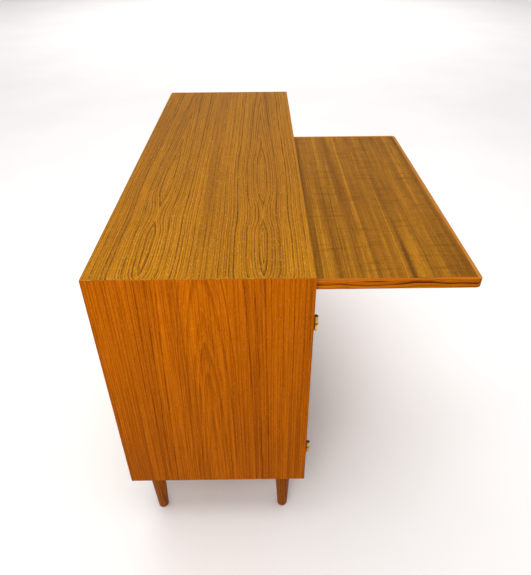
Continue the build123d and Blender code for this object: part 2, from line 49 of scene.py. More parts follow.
# ---------------------------------------------------------------- places read from the frame
top_low, top_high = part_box("case_top")
leaf_low, leaf_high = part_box("leaf_panel")
left_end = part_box("left_end_panel")[0].x
right_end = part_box("right_end_panel")[1].x
case_front = top_low.y
case_back = top_high.y
top_height = top_high.z
case_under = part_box("case_bottom")[0].z


# ---------------------------------------------------------------- camera, light and floor
def set_camera():
    """The camera stands off the left end, above the top, and looks along the length."""
    stand_off, side_step, rise = 0.7423, 0.0967, 0.5152
    tilt_down, turn, roll = 35.74, -0.433, -0.388
    lens = 32.12
    bpy.ops.object.camera_add(location=(left_end - stand_off, case_front + side_step, top_height + rise))
    camera = bpy.context.object
    aim = Matrix.Rotation(radians(turn - 90), 3, "Z") @ Matrix.Rotation(radians(90 - tilt_down), 3, "X")
    camera.rotation_euler = (aim @ Matrix.Rotation(radians(roll), 3, "Z")).to_euler()
    camera.data.lens = lens
    camera.data.sensor_width = 36
    bpy.context.scene.camera = camera


def add_softbox(name, place, target, size, power, spread=180):
    """A square softbox that faces its target. spread is the angle that its grid lets out, in degrees."""
    place = Vector(place)
    bpy.ops.object.light_add(type="AREA", location=place)
    softbox = bpy.context.object
    softbox.name = name
    softbox.rotation_euler = (Vector(target) - place).to_track_quat("-Z", "Y").to_euler()
    softbox.data.size = size
    softbox.data.energy = power
    softbox.data.spread = radians(spread)


def set_light():
    world = bpy.data.worlds.new("white_room")
    bpy.context.scene.world = world
    world.use_nodes = True
    background = world.node_tree.nodes["Background"]
    background.inputs["Color"].default_value = (0.97, 0.985, 1.0, 1)
    background.inputs["Strength"].default_value = 0.58
    middle = (0, (case_front + case_back) / 2, case_under)
    add_softbox("overhead", (0.0, 0.2, 3.6), target=middle, size=3.5, power=115)
    add_softbox("end_light", (-1.5, 0.3, 1.55), target=(left_end, 0.15, 0.72), size=0.6, power=1.6, spread=60)
    # washes the far floor to white, and isn't mirrored in the gloss of the wood
    add_softbox("far_light", (8.0, 0.0, 3.5), target=(8.0, 0.0, 0.0), size=7.0, power=235)
    bpy.context.object.visible_glossy = False
    bpy.context.scene.view_settings.view_transform = "Standard"


def make_floor():
    floor_size = 60
    bpy.ops.mesh.primitive_plane_add(size=floor_size)
    floor = bpy.context.object
    floor.name = "studio_floor"
    recipe = Recipe("floor_paint")
    cloud = recipe.noise(recipe.place, 1.4, detail=3)
    recipe.surface(recipe.ramp(cloud, ((0.3, (0.88, 0.85, 0.83)), (0.7, (0.92, 0.89, 0.87)))), roughness=0.75)
    floor.data.materials.append(recipe.material)


# ---------------------------------------------------------------- how every material is put together
class Recipe:
    """One material. Its values come from the object's own coordinates, in metres."""

    def __init__(self, name):
        self.material = bpy.data.materials.new(name)
        self.material.use_nodes = True
        self.tree = self.material.node_tree
        self.shader = self.tree.nodes["Principled BSDF"]
        self.place = self.node("ShaderNodeTexCoord").outputs["Object"]

    def node(self, kind, **settings):
        made = self.tree.nodes.new(kind)
        for name, value in settings.items():
            setattr(made, name, value)
        return made

    def feed(self, socket, value):
        if isinstance(value, bpy.types.NodeSocket):
            self.tree.links.new(value, socket)
        elif isinstance(value, (tuple, list)) and len(value) == 3 and len(socket.default_value) == 4:
            socket.default_value = (*value, 1)
        else:
            socket.default_value = value

    def calc(self, operation, *values, clamp=False):
        made = self.node("ShaderNodeMath", operation=operation, use_clamp=clamp)
        for socket, value in zip(made.inputs, values):
            self.feed(socket, value)
        return made.outputs[0]

    def axes(self):
        made = self.node("ShaderNodeSeparateXYZ")
        self.feed(made.inputs[0], self.place)
        return made.outputs

    def join(self, x, y, z):
        made = self.node("ShaderNodeCombineXYZ")
        for socket, value in zip(made.inputs, (x, y, z)):
            self.feed(socket, value)
        return made.outputs[0]

    def noise(self, place, scale, detail=2.0, roughness=0.5):
        made = self.node("ShaderNodeTexNoise")
        self.feed(made.inputs["Vector"], place)
        for name, value in (("Scale", scale), ("Detail", detail), ("Roughness", roughness)):
            made.inputs[name].default_value = value
        return made.outputs["Fac"]

    def chance(self, value):
        """A fixed random number from 0 to 1 for each value."""
        made = self.node("ShaderNodeTexWhiteNoise", noise_dimensions="1D")
        self.feed(made.inputs["W"], value)
        return made.outputs["Value"]

    def ramp(self, value, stops, smooth="LINEAR"):
        made = self.node("ShaderNodeValToRGB")
        made.color_ramp.interpolation = smooth
        elements = made.color_ramp.elements
        while len(elements) < len(stops):
            elements.new(0.5)
        for element, (position, colour) in zip(elements, stops):
            element.position = position
            element.color = (*colour, 1) if isinstance(colour, tuple) else (colour, colour, colour, 1)
        self.feed(made.inputs[0], value)
        return made.outputs["Color"]

    def span(self, value, low, high, to_low=0.0, to_high=1.0):
        """value mapped from low..high to to_low..to_high, and held at the ends."""
        made = self.node("ShaderNodeMapRange")
        for socket, number in zip(made.inputs, (value, low, high, to_low, to_high)):
            self.feed(socket, number)
        return made.outputs[0]

    def curve(self, value, points):
        """value in 0..1 sent through a smooth curve of given points."""
        made = self.node("ShaderNodeFloatCurve")
        line = made.mapping.curves[0]
        line.points[0].location = points[0]
        line.points[-1].location = points[-1]
        for point in points[1:-1]:
            line.points.new(*point)
        made.mapping.update()
        self.feed(made.inputs["Value"], value)
        return made.outputs[0]

    def blend(self, amount, first, second):
        """first, turned into second by amount. Both are colours."""
        made = self.node("ShaderNodeMix", data_type="RGBA")
        factor, colour_a, colour_b, result = 0, 6, 7, 2
        self.feed(made.inputs[factor], amount)
        self.feed(made.inputs[colour_a], first)
        self.feed(made.inputs[colour_b], second)
        return made.outputs[result]

    def surface(self, colour, roughness, height=None, depth=0.0, **constants):
        self.feed(self.shader.inputs["Base Color"], colour)
        self.feed(self.shader.inputs["Roughness"], roughness)
        for name, value in constants.items():
            self.feed(self.shader.inputs[name.replace("_", " ")], value)
        if height is not None:
            bump = self.node("ShaderNodeBump")
            bump.inputs["Strength"].default_value = 1.0
            bump.inputs["Distance"].default_value = depth
            self.feed(bump.inputs["Height"], height)
            self.feed(self.shader.inputs["Normal"], bump.outputs[0])
        return self.material


# ---------------------------------------------------------------- wood
class Grain(Recipe):
    """A wood recipe: s runs along the grain, u and v across it."""

    def __init__(self, name, along, across, seed=0.0):
        super().__init__(name)
        places = dict(zip("XYZ", self.axes()))
        self.s = places.pop(along)
        self.u = places.pop(across)
        self.v = places.popitem()[1]
        self.seed = seed

    def stretched(self, along, across, detail=2.0, roughness=0.5, shift=0.0, solid=False):
        """Noise with that many features per metre along and across the grain."""
        calc = self.calc
        through = calc("MULTIPLY_ADD", self.v, across, self.seed + shift) if solid else self.seed + shift
        place = self.join(calc("MULTIPLY", self.s, along), calc("MULTIPLY", self.u, across), through)
        return self.noise(place, 1.0, detail, roughness)

    def sway(self, value, reach, noise):
        """value moved to both sides by noise, reach being the full swing."""
        return self.calc("MULTIPLY_ADD", self.calc("SUBTRACT", noise, 0.5), reach, value)

    def ring_lines(self, rings, solid=False):
        """(main late-wood lines, fine lines between them), each from 0 to 1, for a count of rings."""
        calc, span = self.calc, self.span
        fine_per_ring = 3.0
        late_wood = ((0.0, 0.40), (0.08, 0.0), (0.38, 0.04), (0.58, 0.60), (0.74, 1.0), (0.93, 1.0), (1.0, 0.40))
        fine_wood = ((0.0, 0.0), (0.45, 0.0), (0.8, 1.0), (1.0, 0.0))
        strength = span(self.chance(calc("ADD", calc("FLOOR", rings), self.seed)), 0.0, 0.8, 0.35, 1.0)
        line = self.ramp(calc("FRACT", rings), late_wood)
        fade = span(self.stretched(10.0, 200.0, shift=1, solid=solid), 0.30, 0.60, 0.45, 1.0)
        line = calc("MULTIPLY", calc("MULTIPLY", line, strength), fade)
        thin = self.ramp(calc("FRACT", calc("MULTIPLY", rings, fine_per_ring)), fine_wood)
        thin = calc("MULTIPLY", thin, span(self.stretched(16.0, 320.0, shift=2, solid=solid), 0.35, 0.62, 0.2, 1.0))
        return line, thin

    def teak(self, base, figure, ring_tone, gloss, streaks, glints=0.0, shine=0.10, solid=False, reeds=0.0):
        """Fibres, open pores and oil laid over the rings.

        streaks is how strongly the fibres show, reeds how strongly the straight lines a few millimetres apart do,
        and glints how bright the short flashes are where a fibre catches the light."""
        calc, span, blend = self.calc, self.span, self.blend
        pore_depth, oil_ior, oil_tint, glint_tone = 0.05 * mm, 1.35, (1.0, 0.6, 0.2), (0.80, 0.50, 0.14)
        pore_tone = tuple(part * 0.35 for part in ring_tone)
        fibre = self.stretched(24.0, 700.0, 3.0, 0.7, shift=4, solid=solid)
        pore = span(self.stretched(110.0, 2000.0, 1.0, shift=5, solid=solid), 0.60, 0.70)
        base = blend(calc("MULTIPLY", span(fibre, 0.38, 0.72), streaks), base, ring_tone)
        if reeds:
            reed = self.stretched(1.6, 300.0, 2.0, 0.4, shift=12, solid=solid)
            base = blend(span(reed, 0.50, 0.58, 0.0, reeds), base, ring_tone)
        colour = blend(figure, base, ring_tone)
        colour = blend(calc("MULTIPLY", pore, 0.5), colour, pore_tone)
        # painted highlight: short light flashes blended into the colour where a fibre would catch the light
        if glints:
            glint = span(self.stretched(90.0, 900.0, 1.0, shift=6, solid=solid), 0.62, 0.70)
            colour = blend(calc("MULTIPLY", glint, glints), colour, glint_tone)
        rough = span(fibre, 0.2, 0.8, gloss - 0.04, gloss + 0.08)
        height = calc("SUBTRACT", calc("MULTIPLY", fibre, 0.4), calc("MULTIPLY", pore, 0.6))
        return self.surface(
            colour, rough, height, pore_depth, Specular_IOR_Level=shine, IOR=oil_ior, Specular_Tint=oil_tint
        )


def veneer(node, along, across, crowns, run, lift, tones, depth=30 * mm, spacing=5.2 * mm, tighten=0.0,
           sharpness=1.35, reach=35 * mm, lines=1.0, fine_lines=0.6, shade=0.25, seed=0.0, glints=0.25, shine=0.10,
           reeds=0.0, bars=0.0, bands=22.0, streak=None, thinner=1.0, quiet_centre=1.0):
    """Faces a board with flat-cut teak, whose growth rings rise into nested crowns along each crown line.

    crowns are places across the grain, and run is where the figure starts and ends along it. lift is the curve
    of how far the rings under a crown line have grown, from 0 to depth, and reach is how far out they are lifted.
    tones are light wood, dark wood and ring. spacing is the width of a ring, and tighten narrows the outer ones.
    shade darkens the wood round the crowns, bands is how many slow bands of tone there are to the metre, and bars
    is the strength of the flicker across the grain. streak is where one dark streak ends and where it lies beside
    the grain. thinner and quiet_centre weaken the main lines everywhere and near a crown line."""
    grain = Grain(f"teak_{node}", along, across, seed)
    calc, span, blend, sway, stretched = grain.calc, grain.span, grain.blend, grain.sway, grain.stretched
    light, dark, ring_tone = tones
    wander, wobble, lift_wander, ring_wander = 16 * mm, 2.5 * mm, 6 * mm, 2.2
    gloss, fibre_strength, wear_reach = 0.45, 0.35, 7 * mm

    # thin edge strips, whose grain runs along each edge
    low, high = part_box(node)
    strip = 0.8 * mm

    def from_edge(place, axis):
        which = "XYZ".index(axis)
        from_middle = calc("ABSOLUTE", calc("SUBTRACT", place, (low + high)[which] / 2))
        return calc("SUBTRACT", (high - low)[which] / 2, from_middle)

    end_distance, side_distance = from_edge(grain.s, along), from_edge(grain.u, across)
    nearest_edge = calc("MINIMUM", end_distance, side_distance)
    at_end = calc("LESS_THAN", end_distance, strip)
    at_edge = calc("LESS_THAN", nearest_edge, strip)
    grain.s = calc("MULTIPLY_ADD", at_end, calc("SUBTRACT", grain.u, grain.s), grain.s)
    grain.u = calc("MULTIPLY_ADD", at_edge, calc("SUBTRACT", grain.v, grain.u), grain.u)

    # slow bends of the whole figure, then the small wobble of single rings
    bent = sway(grain.u, wander, stretched(1.5, 3.0, 1.0))
    bent = sway(bent, wobble, stretched(12.0, 70.0, 2.0, shift=7))

    # distance from the nearest crown line
    offset = calc("SUBTRACT", bent, crowns[0])
    for crown in crowns[1:]:
        other = calc("SUBTRACT", bent, crown)
        nearer = calc("LESS_THAN", calc("ABSOLUTE", other), calc("ABSOLUTE", offset))
        offset = calc("MULTIPLY_ADD", nearer, calc("SUBTRACT", other, offset), offset)

    # the rings: crowns where the cut runs along them, straight lines to both sides
    growth = calc("MULTIPLY", grain.curve(span(grain.s, *run), lift), depth)
    growth = calc("MAXIMUM", sway(growth, lift_wander, stretched(4.0, 6.0, shift=3)), 0.0)
    away = calc("DIVIDE", offset, reach)
    growth = calc("DIVIDE", growth, calc("MULTIPLY_ADD", away, away, 1.0))
    spread = calc("ADD", calc("POWER", calc("ABSOLUTE", offset), sharpness), calc("POWER", growth, sharpness))
    radius = calc("POWER", spread, 1 / sharpness)
    rings = calc("DIVIDE", radius, spacing)
    rings = calc("MULTIPLY_ADD", calc("MULTIPLY", radius, radius), tighten / spacing, rings)
    rings = calc("MULTIPLY_ADD", grain.noise(grain.join(rings, seed, 0.0), 0.8), ring_wander, rings)
    line, thin = grain.ring_lines(rings)
    line = calc("MULTIPLY", calc("POWER", line, thinner), lines)
    figure = calc("MAXIMUM", line, calc("MULTIPLY", thin, fine_lines))
    figure = calc("MULTIPLY", figure, span(calc("ABSOLUTE", offset), 10 * mm, 60 * mm, quiet_centre, 1.0))

    # slow bands of tone, darker round the crowns
    base = blend(span(stretched(1.2, bands, 3.0, 0.6, shift=11), 0.34, 0.66), light, dark)
    near_crown = span(calc("ABSOLUTE", offset), 8 * mm, 40 * mm, shade, 0.0)
    base = blend(near_crown, base, dark)

    # the edge strips' own tone, and wear beside them
    base = blend(calc("MULTIPLY", at_edge, 0.85), base, strip_tone)
    rubbed = span(grain.noise(grain.place, 14.0, 3.0), 0.42, 0.62)
    base = blend(calc("MULTIPLY", rubbed, span(nearest_edge, strip, wear_reach, 0.4, 0.0)), base, light)

    # flicker across the grain, and one dark streak with light to both sides
    if bars:
        base = blend(span(stretched(90.0, 14.0, 2.0, shift=15), 0.5, 0.7, 0.0, bars), base, ring_tone)
    if streak:
        ends_at, beside = streak
        fade_length, core, rim = 0.12, 2 * mm, 9 * mm
        fading = span(grain.s, ends_at - fade_length, ends_at, 1.0, 0.0)
        for shift, tone, amount in ((0.0, ring_tone, 0.75), (-18 * mm, light, 0.9), (15 * mm, light, 0.6)):
            width = span(calc("ABSOLUTE", calc("SUBTRACT", bent, beside + shift)), core, rim, amount, 0.0)
            base = blend(calc("MULTIPLY", width, fading), base, tone)
    dress(grain.teak(base, figure, ring_tone, gloss, fibre_strength, glints, shine, reeds=reeds), node)


def solid_teak(name, along, heart, tones, spacing=5 * mm, lines=0.8, fine_lines=0.5, wander=5 * mm, waves=3.0,
               seed=0.0, shine=0.10):
    """Solid teak with round growth rings about a heart line that lies to one side of the piece.

    heart is where that line crosses the two other axes, in X, Y, Z order. The rings sway by wander, with that
    many waves to the metre."""
    gloss, fibre_strength = 0.42, 0.4
    across = [axis for axis in "XYZ" if axis != along]
    grain = Grain(name, along, across[0], seed)
    calc, sway, stretched = grain.calc, grain.sway, grain.stretched
    light, dark, ring_tone = tones
    from_heart = [
        sway(calc("SUBTRACT", place, centre), wander, stretched(waves, 9.0, 2.0, shift=shift, solid=True))
        for place, centre, shift in zip((grain.u, grain.v), heart, (8, 9))
    ]
    squares = [calc("MULTIPLY", part, part) for part in from_heart]
    rings = calc("DIVIDE", calc("SQRT", calc("ADD", *squares)), spacing)
    line, thin = grain.ring_lines(rings, solid=True)
    figure = calc("MAXIMUM", calc("MULTIPLY", line, lines), calc("MULTIPLY", thin, fine_lines))
    base = grain.blend(grain.span(stretched(2.0, 30.0, 3.0, shift=11, solid=True), 0.35, 0.65), light, dark)
    return grain.teak(base, figure, ring_tone, gloss, fibre_strength, shine=shine, solid=True)


def beech(name, along, across, seed=0.0):
    """Bare planed beech: pale and pinkish, with faint rings and short dark flecks."""
    pale, pink = (0.56, 0.36, 0.19), (0.47, 0.29, 0.145)
    ring_tone, fleck_tone = (0.33, 0.18, 0.08), (0.26, 0.13, 0.055)
    spacing, wander = 5 * mm, 8 * mm
    grain = Grain(name, along, across, seed)
    calc, span, blend, stretched = grain.calc, grain.span, grain.blend, grain.stretched
    rings = calc("DIVIDE", grain.sway(grain.u, wander, stretched(2.0, 5.0, shift=7, solid=True)), spacing)
    line, thin = grain.ring_lines(rings, solid=True)
    fleck = span(stretched(260.0, 1300.0, 1.0, shift=5, solid=True), 0.60, 0.66)
    cloud = span(stretched(3.0, 20.0, 3.0, shift=11, solid=True), 0.35, 0.65)
    colour = blend(cloud, pale, pink)
    colour = blend(calc("MULTIPLY", line, 0.25), colour, ring_tone)
    colour = blend(calc("MULTIPLY", thin, 0.12), colour, ring_tone)
    colour = blend(calc("MULTIPLY", fleck, 0.55), colour, fleck_tone)
    height = calc("SUBTRACT", calc("MULTIPLY", line, 0.3), fleck)
    return grain.surface(colour, span(cloud, 0.0, 1.0, 0.55, 0.66), height, 0.03 * mm, Specular_IOR_Level=0.25)


def plywood(name, through, along, low, seed=0.0):
    """Bare plywood: plies that cross at the edges, and the wide wild grain of a peeled face.

    The plies are counted through the board from low."""
    ply = 1.3 * mm
    pale, dark = (0.60, 0.42, 0.22), (0.50, 0.33, 0.165)
    ring_tone, fibre_tone = (0.34, 0.19, 0.08), (0.36, 0.21, 0.10)
    crossed_tones = (0.27, 0.165, 0.085), (0.20, 0.115, 0.055)
    across = next(axis for axis in "XYZ" if axis not in (through, along))
    grain = Grain(name, along, across, seed)
    calc, span, blend, stretched = grain.calc, grain.span, grain.blend, grain.stretched
    layer = calc("FLOOR", calc("DIVIDE", calc("SUBTRACT", grain.v, low - 0.01 * mm), ply))
    crossed = calc("FLOORED_MODULO", layer, 2.0)
    contour = calc("MULTIPLY", stretched(1.6, 7.0, 2.0, 0.5), 34.0)
    line = grain.ramp(calc("FRACT", contour), ((0.0, 0.0), (0.55, 0.15), (0.85, 1.0), (1.0, 0.1)), "EASE")
    fibre = stretched(30.0, 600.0, 3.0, 0.7, shift=4)
    base = blend(span(stretched(2.0, 9.0, 3.0, shift=11), 0.35, 0.65), pale, dark)
    colour = blend(calc("MULTIPLY", line, 0.38), base, ring_tone)
    colour = blend(calc("MULTIPLY", span(fibre, 0.4, 0.7), 0.25), colour, fibre_tone)
    end_grain = grain.noise(grain.place, 2600.0, 2.0)
    end_tone = blend(span(end_grain, 0.4, 0.6), *crossed_tones)
    colour = blend(calc("MULTIPLY", crossed, 0.8), colour, end_tone)
    height = calc("SUBTRACT", fibre, calc("MULTIPLY", line, 0.4))
    return grain.surface(colour, span(fibre, 0.2, 0.8, 0.62, 0.75), height, 0.04 * mm, Specular_IOR_Level=0.2)


# ---------------------------------------------------------------- metal, plastic and glass
def metal(name, bright, dull, tarnish, dark_heights=(), dark_reach=1.2 * mm):
    """Handled metal: patches of tarnish, a rougher skin where it is dull, and fine rubbed lines.

    Painted shade darkens the colour within dark_reach of each of the dark heights."""
    patch_scale, gloss, ragged = 90.0, 0.28, 0.4 * mm
    painted_shade_tone = tuple(part * 0.3 for part in tarnish)
    recipe = Recipe(name)
    span, blend = recipe.span, recipe.blend
    patch = span(recipe.noise(recipe.place, patch_scale, 4.0, 0.6), 0.36, 0.66)
    spot = span(recipe.noise(recipe.place, patch_scale * 9, 2.0), 0.60, 0.72)
    x, y, z = recipe.axes()
    rubbed = recipe.noise(recipe.join(x, y, recipe.calc("MULTIPLY", z, 12.0)), 700.0, 2.0)
    colour = blend(patch, bright, dull)
    colour = blend(recipe.calc("MULTIPLY", spot, 0.6), colour, tarnish)
    # painted shade: a darker band at each dark height, where ends and splits fall into shade
    for height in dark_heights:
        gap = recipe.calc("ABSOLUTE", recipe.calc("SUBTRACT", z, height))
        ragged_gap = recipe.calc("ADD", gap, span(patch, 0.0, 1.0, -ragged, ragged))
        painted_shade = span(ragged_gap, 0.5 * dark_reach, dark_reach, 0.9, 0.0)
        colour = blend(painted_shade, colour, painted_shade_tone)
    rough = recipe.calc("ADD", span(patch, 0.0, 1.0, gloss, gloss + 0.2), span(rubbed, 0.3, 0.7, 0.0, 0.08))
    return recipe.surface(colour, rough, rubbed, 0.02 * mm, Metallic=1.0)


def moulded_plastic(name, tone, worn):
    """Brown moulded plastic with a fine skin."""
    recipe = Recipe(name)
    skin = recipe.noise(recipe.place, 1500.0, 2.0)
    cloud = recipe.span(recipe.noise(recipe.place, 60.0, 3.0), 0.35, 0.65)
    colour = recipe.blend(cloud, tone, worn)
    return recipe.surface(colour, recipe.span(skin, 0.3, 0.7, 0.42, 0.56), skin, 0.03 * mm)


def silvered_glass(name, back):
    """A mirror plate: silver seen through clean glass, with brown paint on its back.

    back is where the painted back lies along Y."""
    recipe = Recipe(name)
    span, blend, calc = recipe.span, recipe.blend, recipe.calc
    across = recipe.axes()[1]
    painted = calc("LESS_THAN", across, back + 0.4 * mm)
    smear = span(recipe.noise(recipe.place, 9.0, 4.0, 0.65), 0.45, 0.75)
    silver = blend(smear, (0.88, 0.91, 0.895), (0.80, 0.83, 0.815))
    grain = recipe.noise(recipe.place, 900.0, 2.0)
    paint = blend(grain, (0.11, 0.052, 0.03), (0.16, 0.080, 0.05))
    colour = blend(painted, silver, paint)
    rough = calc("MULTIPLY_ADD", painted, 0.5, span(smear, 0.0, 1.0, 0.012, 0.05))
    return recipe.surface(colour, rough, Metallic=calc("SUBTRACT", 1.0, painted))


# ---------------------------------------------------------------- finishes for the CAD nodes
def dress(material, *names):
    """Gives CAD nodes their finish."""
    for name in names:
        mesh = nodes[name].data
        mesh.materials.clear()
        mesh.materials.append(material)


# where the crowns of the top's figure lie, and how far their rings have grown along the board
case_crowns = (case_front + 0.0945, case_back - 0.100)
top_lift = ((0.0, 0.70), (0.125, 0.20), (0.20, 0.52), (0.333, 0.05), (0.55, 0.42), (0.79, 0.78), (1.0, 1.0))
end_lift = ((0.0, 0.05), (0.25, 0.25), (0.6, 0.50), (0.85, 0.80), (1.0, 1.0))
soft_lift = ((0.0, 0.9), (0.3, 0.35), (0.55, 0.08), (0.8, 0.40), (1.0, 0.85))

# light wood, dark wood and ring tone of each lot of teak
golden_teak = ((0.435, 0.169, 0.002), (0.320, 0.117, 0.002), (0.085, 0.027, 0.001))
orange_teak = ((0.575, 0.143, 0.001), (0.435, 0.103, 0.001), (0.165, 0.026, 0.000))
olive_teak = ((0.41, 0.165, 0.006), (0.19, 0.068, 0.002), (0.07, 0.022, 0.001))
door_teak = ((0.49, 0.155, 0.006), (0.37, 0.108, 0.004), (0.12, 0.028, 0.001))
leg_teak = ((0.40, 0.105, 0.001), (0.29, 0.070, 0.001), (0.11, 0.020, 0.001))
lipping_teak = ((0.52, 0.215, 0.035), (0.40, 0.150, 0.020), (0.22, 0.072, 0.006))
edge_teak = ((0.68, 0.185, 0.001), (0.42, 0.094, 0.001), (0.075, 0.011, 0.001))
strip_tone = (0.34, 0.115, 0.010)


def dress_boards():
    run_along = (left_end, right_end)
    run_up = (case_under, top_height)
    mid_depth = ((case_front + case_back) / 2,)
    veneer("case_top", "X", "Y", case_crowns, run_along, top_lift, golden_teak, depth=28 * mm, spacing=4.6 * mm,
           sharpness=1.12, reach=42 * mm, lines=1.05, fine_lines=0.75, reeds=0.20)
    for seed, name in ((3.0, "left_end_panel"), (9.0, "right_end_panel")):
        veneer(name, "Z", "Y", mid_depth, run_up, end_lift, orange_teak, depth=50 * mm, spacing=12 * mm,
               tighten=2.8, sharpness=1.5, reach=120 * mm, shade=0.0, glints=0.12, shine=0.03, reeds=0.38,
               lines=0.9, fine_lines=0.7, thinner=2.2, quiet_centre=0.7, seed=seed)
    veneer("case_bottom", "X", "Y", case_crowns, run_along, soft_lift, door_teak, seed=13.0)

    leaf_crown = (leaf_low.y - 0.2,)
    leaf_streak = (left_end + 0.24, leaf_low.y + 0.116)
    veneer("leaf_panel", "X", "Y", leaf_crown, (leaf_low.x, leaf_high.x), soft_lift, olive_teak, seed=5.0,
           spacing=2.6 * mm, lines=0.75, glints=0.12, bars=0.36, bands=38.0, reeds=0.30, streak=leaf_streak)

    for seed, name in enumerate(("main_divider", "middle_divider"), 21):
        veneer(name, "Z", "Y", mid_depth, run_up, end_lift, door_teak, seed=seed)
    for seed, name in enumerate(("left_shelf", "middle_shelf"), 31):
        low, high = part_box(name)
        veneer(name, "X", "Y", ((low.y + high.y) / 2,), (low.x, high.x), soft_lift, door_teak, seed=seed)
    for seed, name in enumerate(("left_door_panel", "middle_door_panel"), 41):
        low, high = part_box(name)
        veneer(name, "Z", "X", ((low.x + high.x) / 2,), (low.z, high.z), end_lift, door_teak, seed=seed,
               depth=45 * mm, reach=90 * mm)
    for drawer in (1, 2, 3):
        name = f"drawer_{drawer}_front"
        low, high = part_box(name)
        veneer(name, "X", "Z", ((low.z + high.z) / 2,), (low.x, high.x), soft_lift, door_teak,
               seed=50.0 + drawer, reach=80 * mm)


def dress_solid_wood():
    """The leaf's lippings: the front one runs along the leaf, the side ones across it."""
    for seed, (name, tones) in enumerate((
        ("leaf_front_lipping", lipping_teak), ("leaf_left_lipping", edge_teak), ("leaf_right_lipping", lipping_teak)
    ), 61):
        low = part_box(name)[0]
        if name == "leaf_front_lipping":
            along, heart = "X", (low.y - 0.09, low.z - 0.02)
        else:
            along, heart = "Y", (low.x - 0.05, low.z + 0.03)
        dress(solid_teak(f"lipping_{seed}", along, heart, tones, 3.2 * mm, lines=1.0, fine_lines=0.7,
                         wander=7 * mm, waves=11.0, seed=seed), name)


def dress_hidden_wood():
    dress(beech("beech_strips", "Y", "X"), "leaf_runners", "leaf_kicker_strips", "drawer_runners")
    dress(beech("beech_blocks", "X", "Y", 2.0), "leaf_stop_blocks", "leaf_stop_pins")
    for drawer in (1, 2, 3):
        dress(beech(f"beech_sides_{drawer}", "Y", "Z", drawer), f"drawer_{drawer}_sides")
        dress(beech(f"beech_back_{drawer}", "X", "Z", drawer + 4.0), f"drawer_{drawer}_back")
        bottom = f"drawer_{drawer}_bottom"
        dress(plywood(f"ply_bottom_{drawer}", "Z", "X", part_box(bottom)[0].z, seed=drawer), bottom)
    dress(plywood("ply_back", "Y", "X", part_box("back_panel")[0].y, seed=7.0), "back_panel")
    dress(plywood("ply_mirror", "Y", "Z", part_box("mirror_backing")[0].y, seed=8.0), "mirror_backing")


def dress_fittings():
    dress(brass, "mirror_clips", "shelf_pins")
    dress(steel, "leg_mounting_plates", "leg_bolts")


# ---------------------------------------------------------------- modelling by hand
def clear_selection():
    bpy.ops.object.select_all(action="DESELECT")


def pick_only(piece):
    """Selects one piece and makes it the active one."""
    clear_selection()
    piece.select_set(True)
    bpy.context.view_layer.objects.active = piece


def throw_away(piece):
    pick_only(piece)
    bpy.ops.object.delete()


def turn_up(name, stations, sides=48):
    """A piece turned about Z, drawn from its first (radius, height) ring through the others and closed."""
    (radius, height), *others = stations
    clear_selection()
    bpy.ops.mesh.primitive_circle_add(vertices=sides, radius=radius, fill_type="NGON", location=(0, 0, height))
    piece = bpy.context.object
    piece.name = name
    bpy.ops.object.transform_apply(location=True, rotation=False, scale=False)
    bpy.ops.object.mode_set(mode="EDIT")
    bpy.ops.mesh.select_all(action="SELECT")
    for next_radius, next_height in others:
        bpy.ops.mesh.extrude_region_move(TRANSFORM_OT_translate={"value": (0, 0, next_height - height)})
        widen = next_radius / radius
        bpy.ops.transform.resize(value=(widen, widen, 1), center_override=(0, 0, next_height))
        radius, height = next_radius, next_height
    close_up()
    return piece


def close_up():
    """Ends edit mode with outward normals and smooth faces between the real edges."""
    sharpest_smooth = radians(32)
    bpy.ops.mesh.select_all(action="SELECT")
    bpy.ops.mesh.normals_make_consistent(inside=False)
    bpy.ops.object.mode_set(mode="OBJECT")
    bpy.ops.object.shade_smooth_by_angle(angle=sharpest_smooth)


def block(name, low, high, bevel=0.3 * mm, segments=2):
    """A block between two corners, with its edges broken."""
    clear_selection()
    low, high = Vector(low), Vector(high)
    bpy.ops.mesh.primitive_cube_add(size=1, location=(low + high) / 2)
    piece = bpy.context.object
    piece.name = name
    piece.scale = high - low
    bpy.ops.object.transform_apply(location=True, rotation=False, scale=True)
    bpy.ops.object.mode_set(mode="EDIT")
    bpy.ops.mesh.select_all(action="SELECT")
    bpy.ops.mesh.bevel(offset=bevel, segments=segments, affect="EDGES")
    close_up()
    return piece


def put(piece, place, facing=(0, 0, 1)):
    """Stands a piece that was made on Z at its place, with its Z turned to face another way."""
    pick_only(piece)
    piece.location = place
    piece.rotation_euler = Vector(facing).to_track_quat("Z", "Y").to_euler()
    bpy.ops.object.transform_apply(location=True, rotation=True, scale=True)
    return piece


def copy_of(piece):
    pick_only(piece)
    bpy.ops.object.duplicate(linked=False)
    return bpy.context.object


def weld(name, pieces):
    """Several pieces made one object, under one name."""
    clear_selection()
    for piece in pieces:
        piece.select_set(True)
    bpy.context.view_layer.objects.active = pieces[0]
    if len(pieces) > 1:
        bpy.ops.object.join()
    pieces[0].name = name
    return pieces[0]


def finish_piece(piece, material, slot, body, *stands_for):
    """Gives a modelled piece its finish, its body and the CAD nodes that it stands for. slot is not used."""
    piece.data.materials.clear()
    piece.data.materials.append(material)
    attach(piece, body)
    if stands_for:
        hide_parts(*stands_for)


def solids(name):
    """The (lowest corner, highest corner) of each separate solid in a CAD node."""
    same_place = 0.01 * mm
    copy_of(nodes[name])
    bpy.ops.object.mode_set(mode="EDIT")
    bpy.ops.mesh.select_all(action="SELECT")
    bpy.ops.mesh.remove_doubles(threshold=same_place)
    bpy.ops.mesh.separate(type="LOOSE")
    bpy.ops.object.mode_set(mode="OBJECT")
    parts = list(bpy.context.selected_objects)
    boxes = []
    for part in parts:
        by_axis = list(zip(*(part.matrix_world @ vertex.co for vertex in part.data.vertices)))
        boxes.append((Vector(map(min, by_axis)), Vector(map(max, by_axis))))
    bpy.ops.object.delete()
    return sorted(boxes, key=lambda box: tuple(round(value / mm) for value in box[0]))


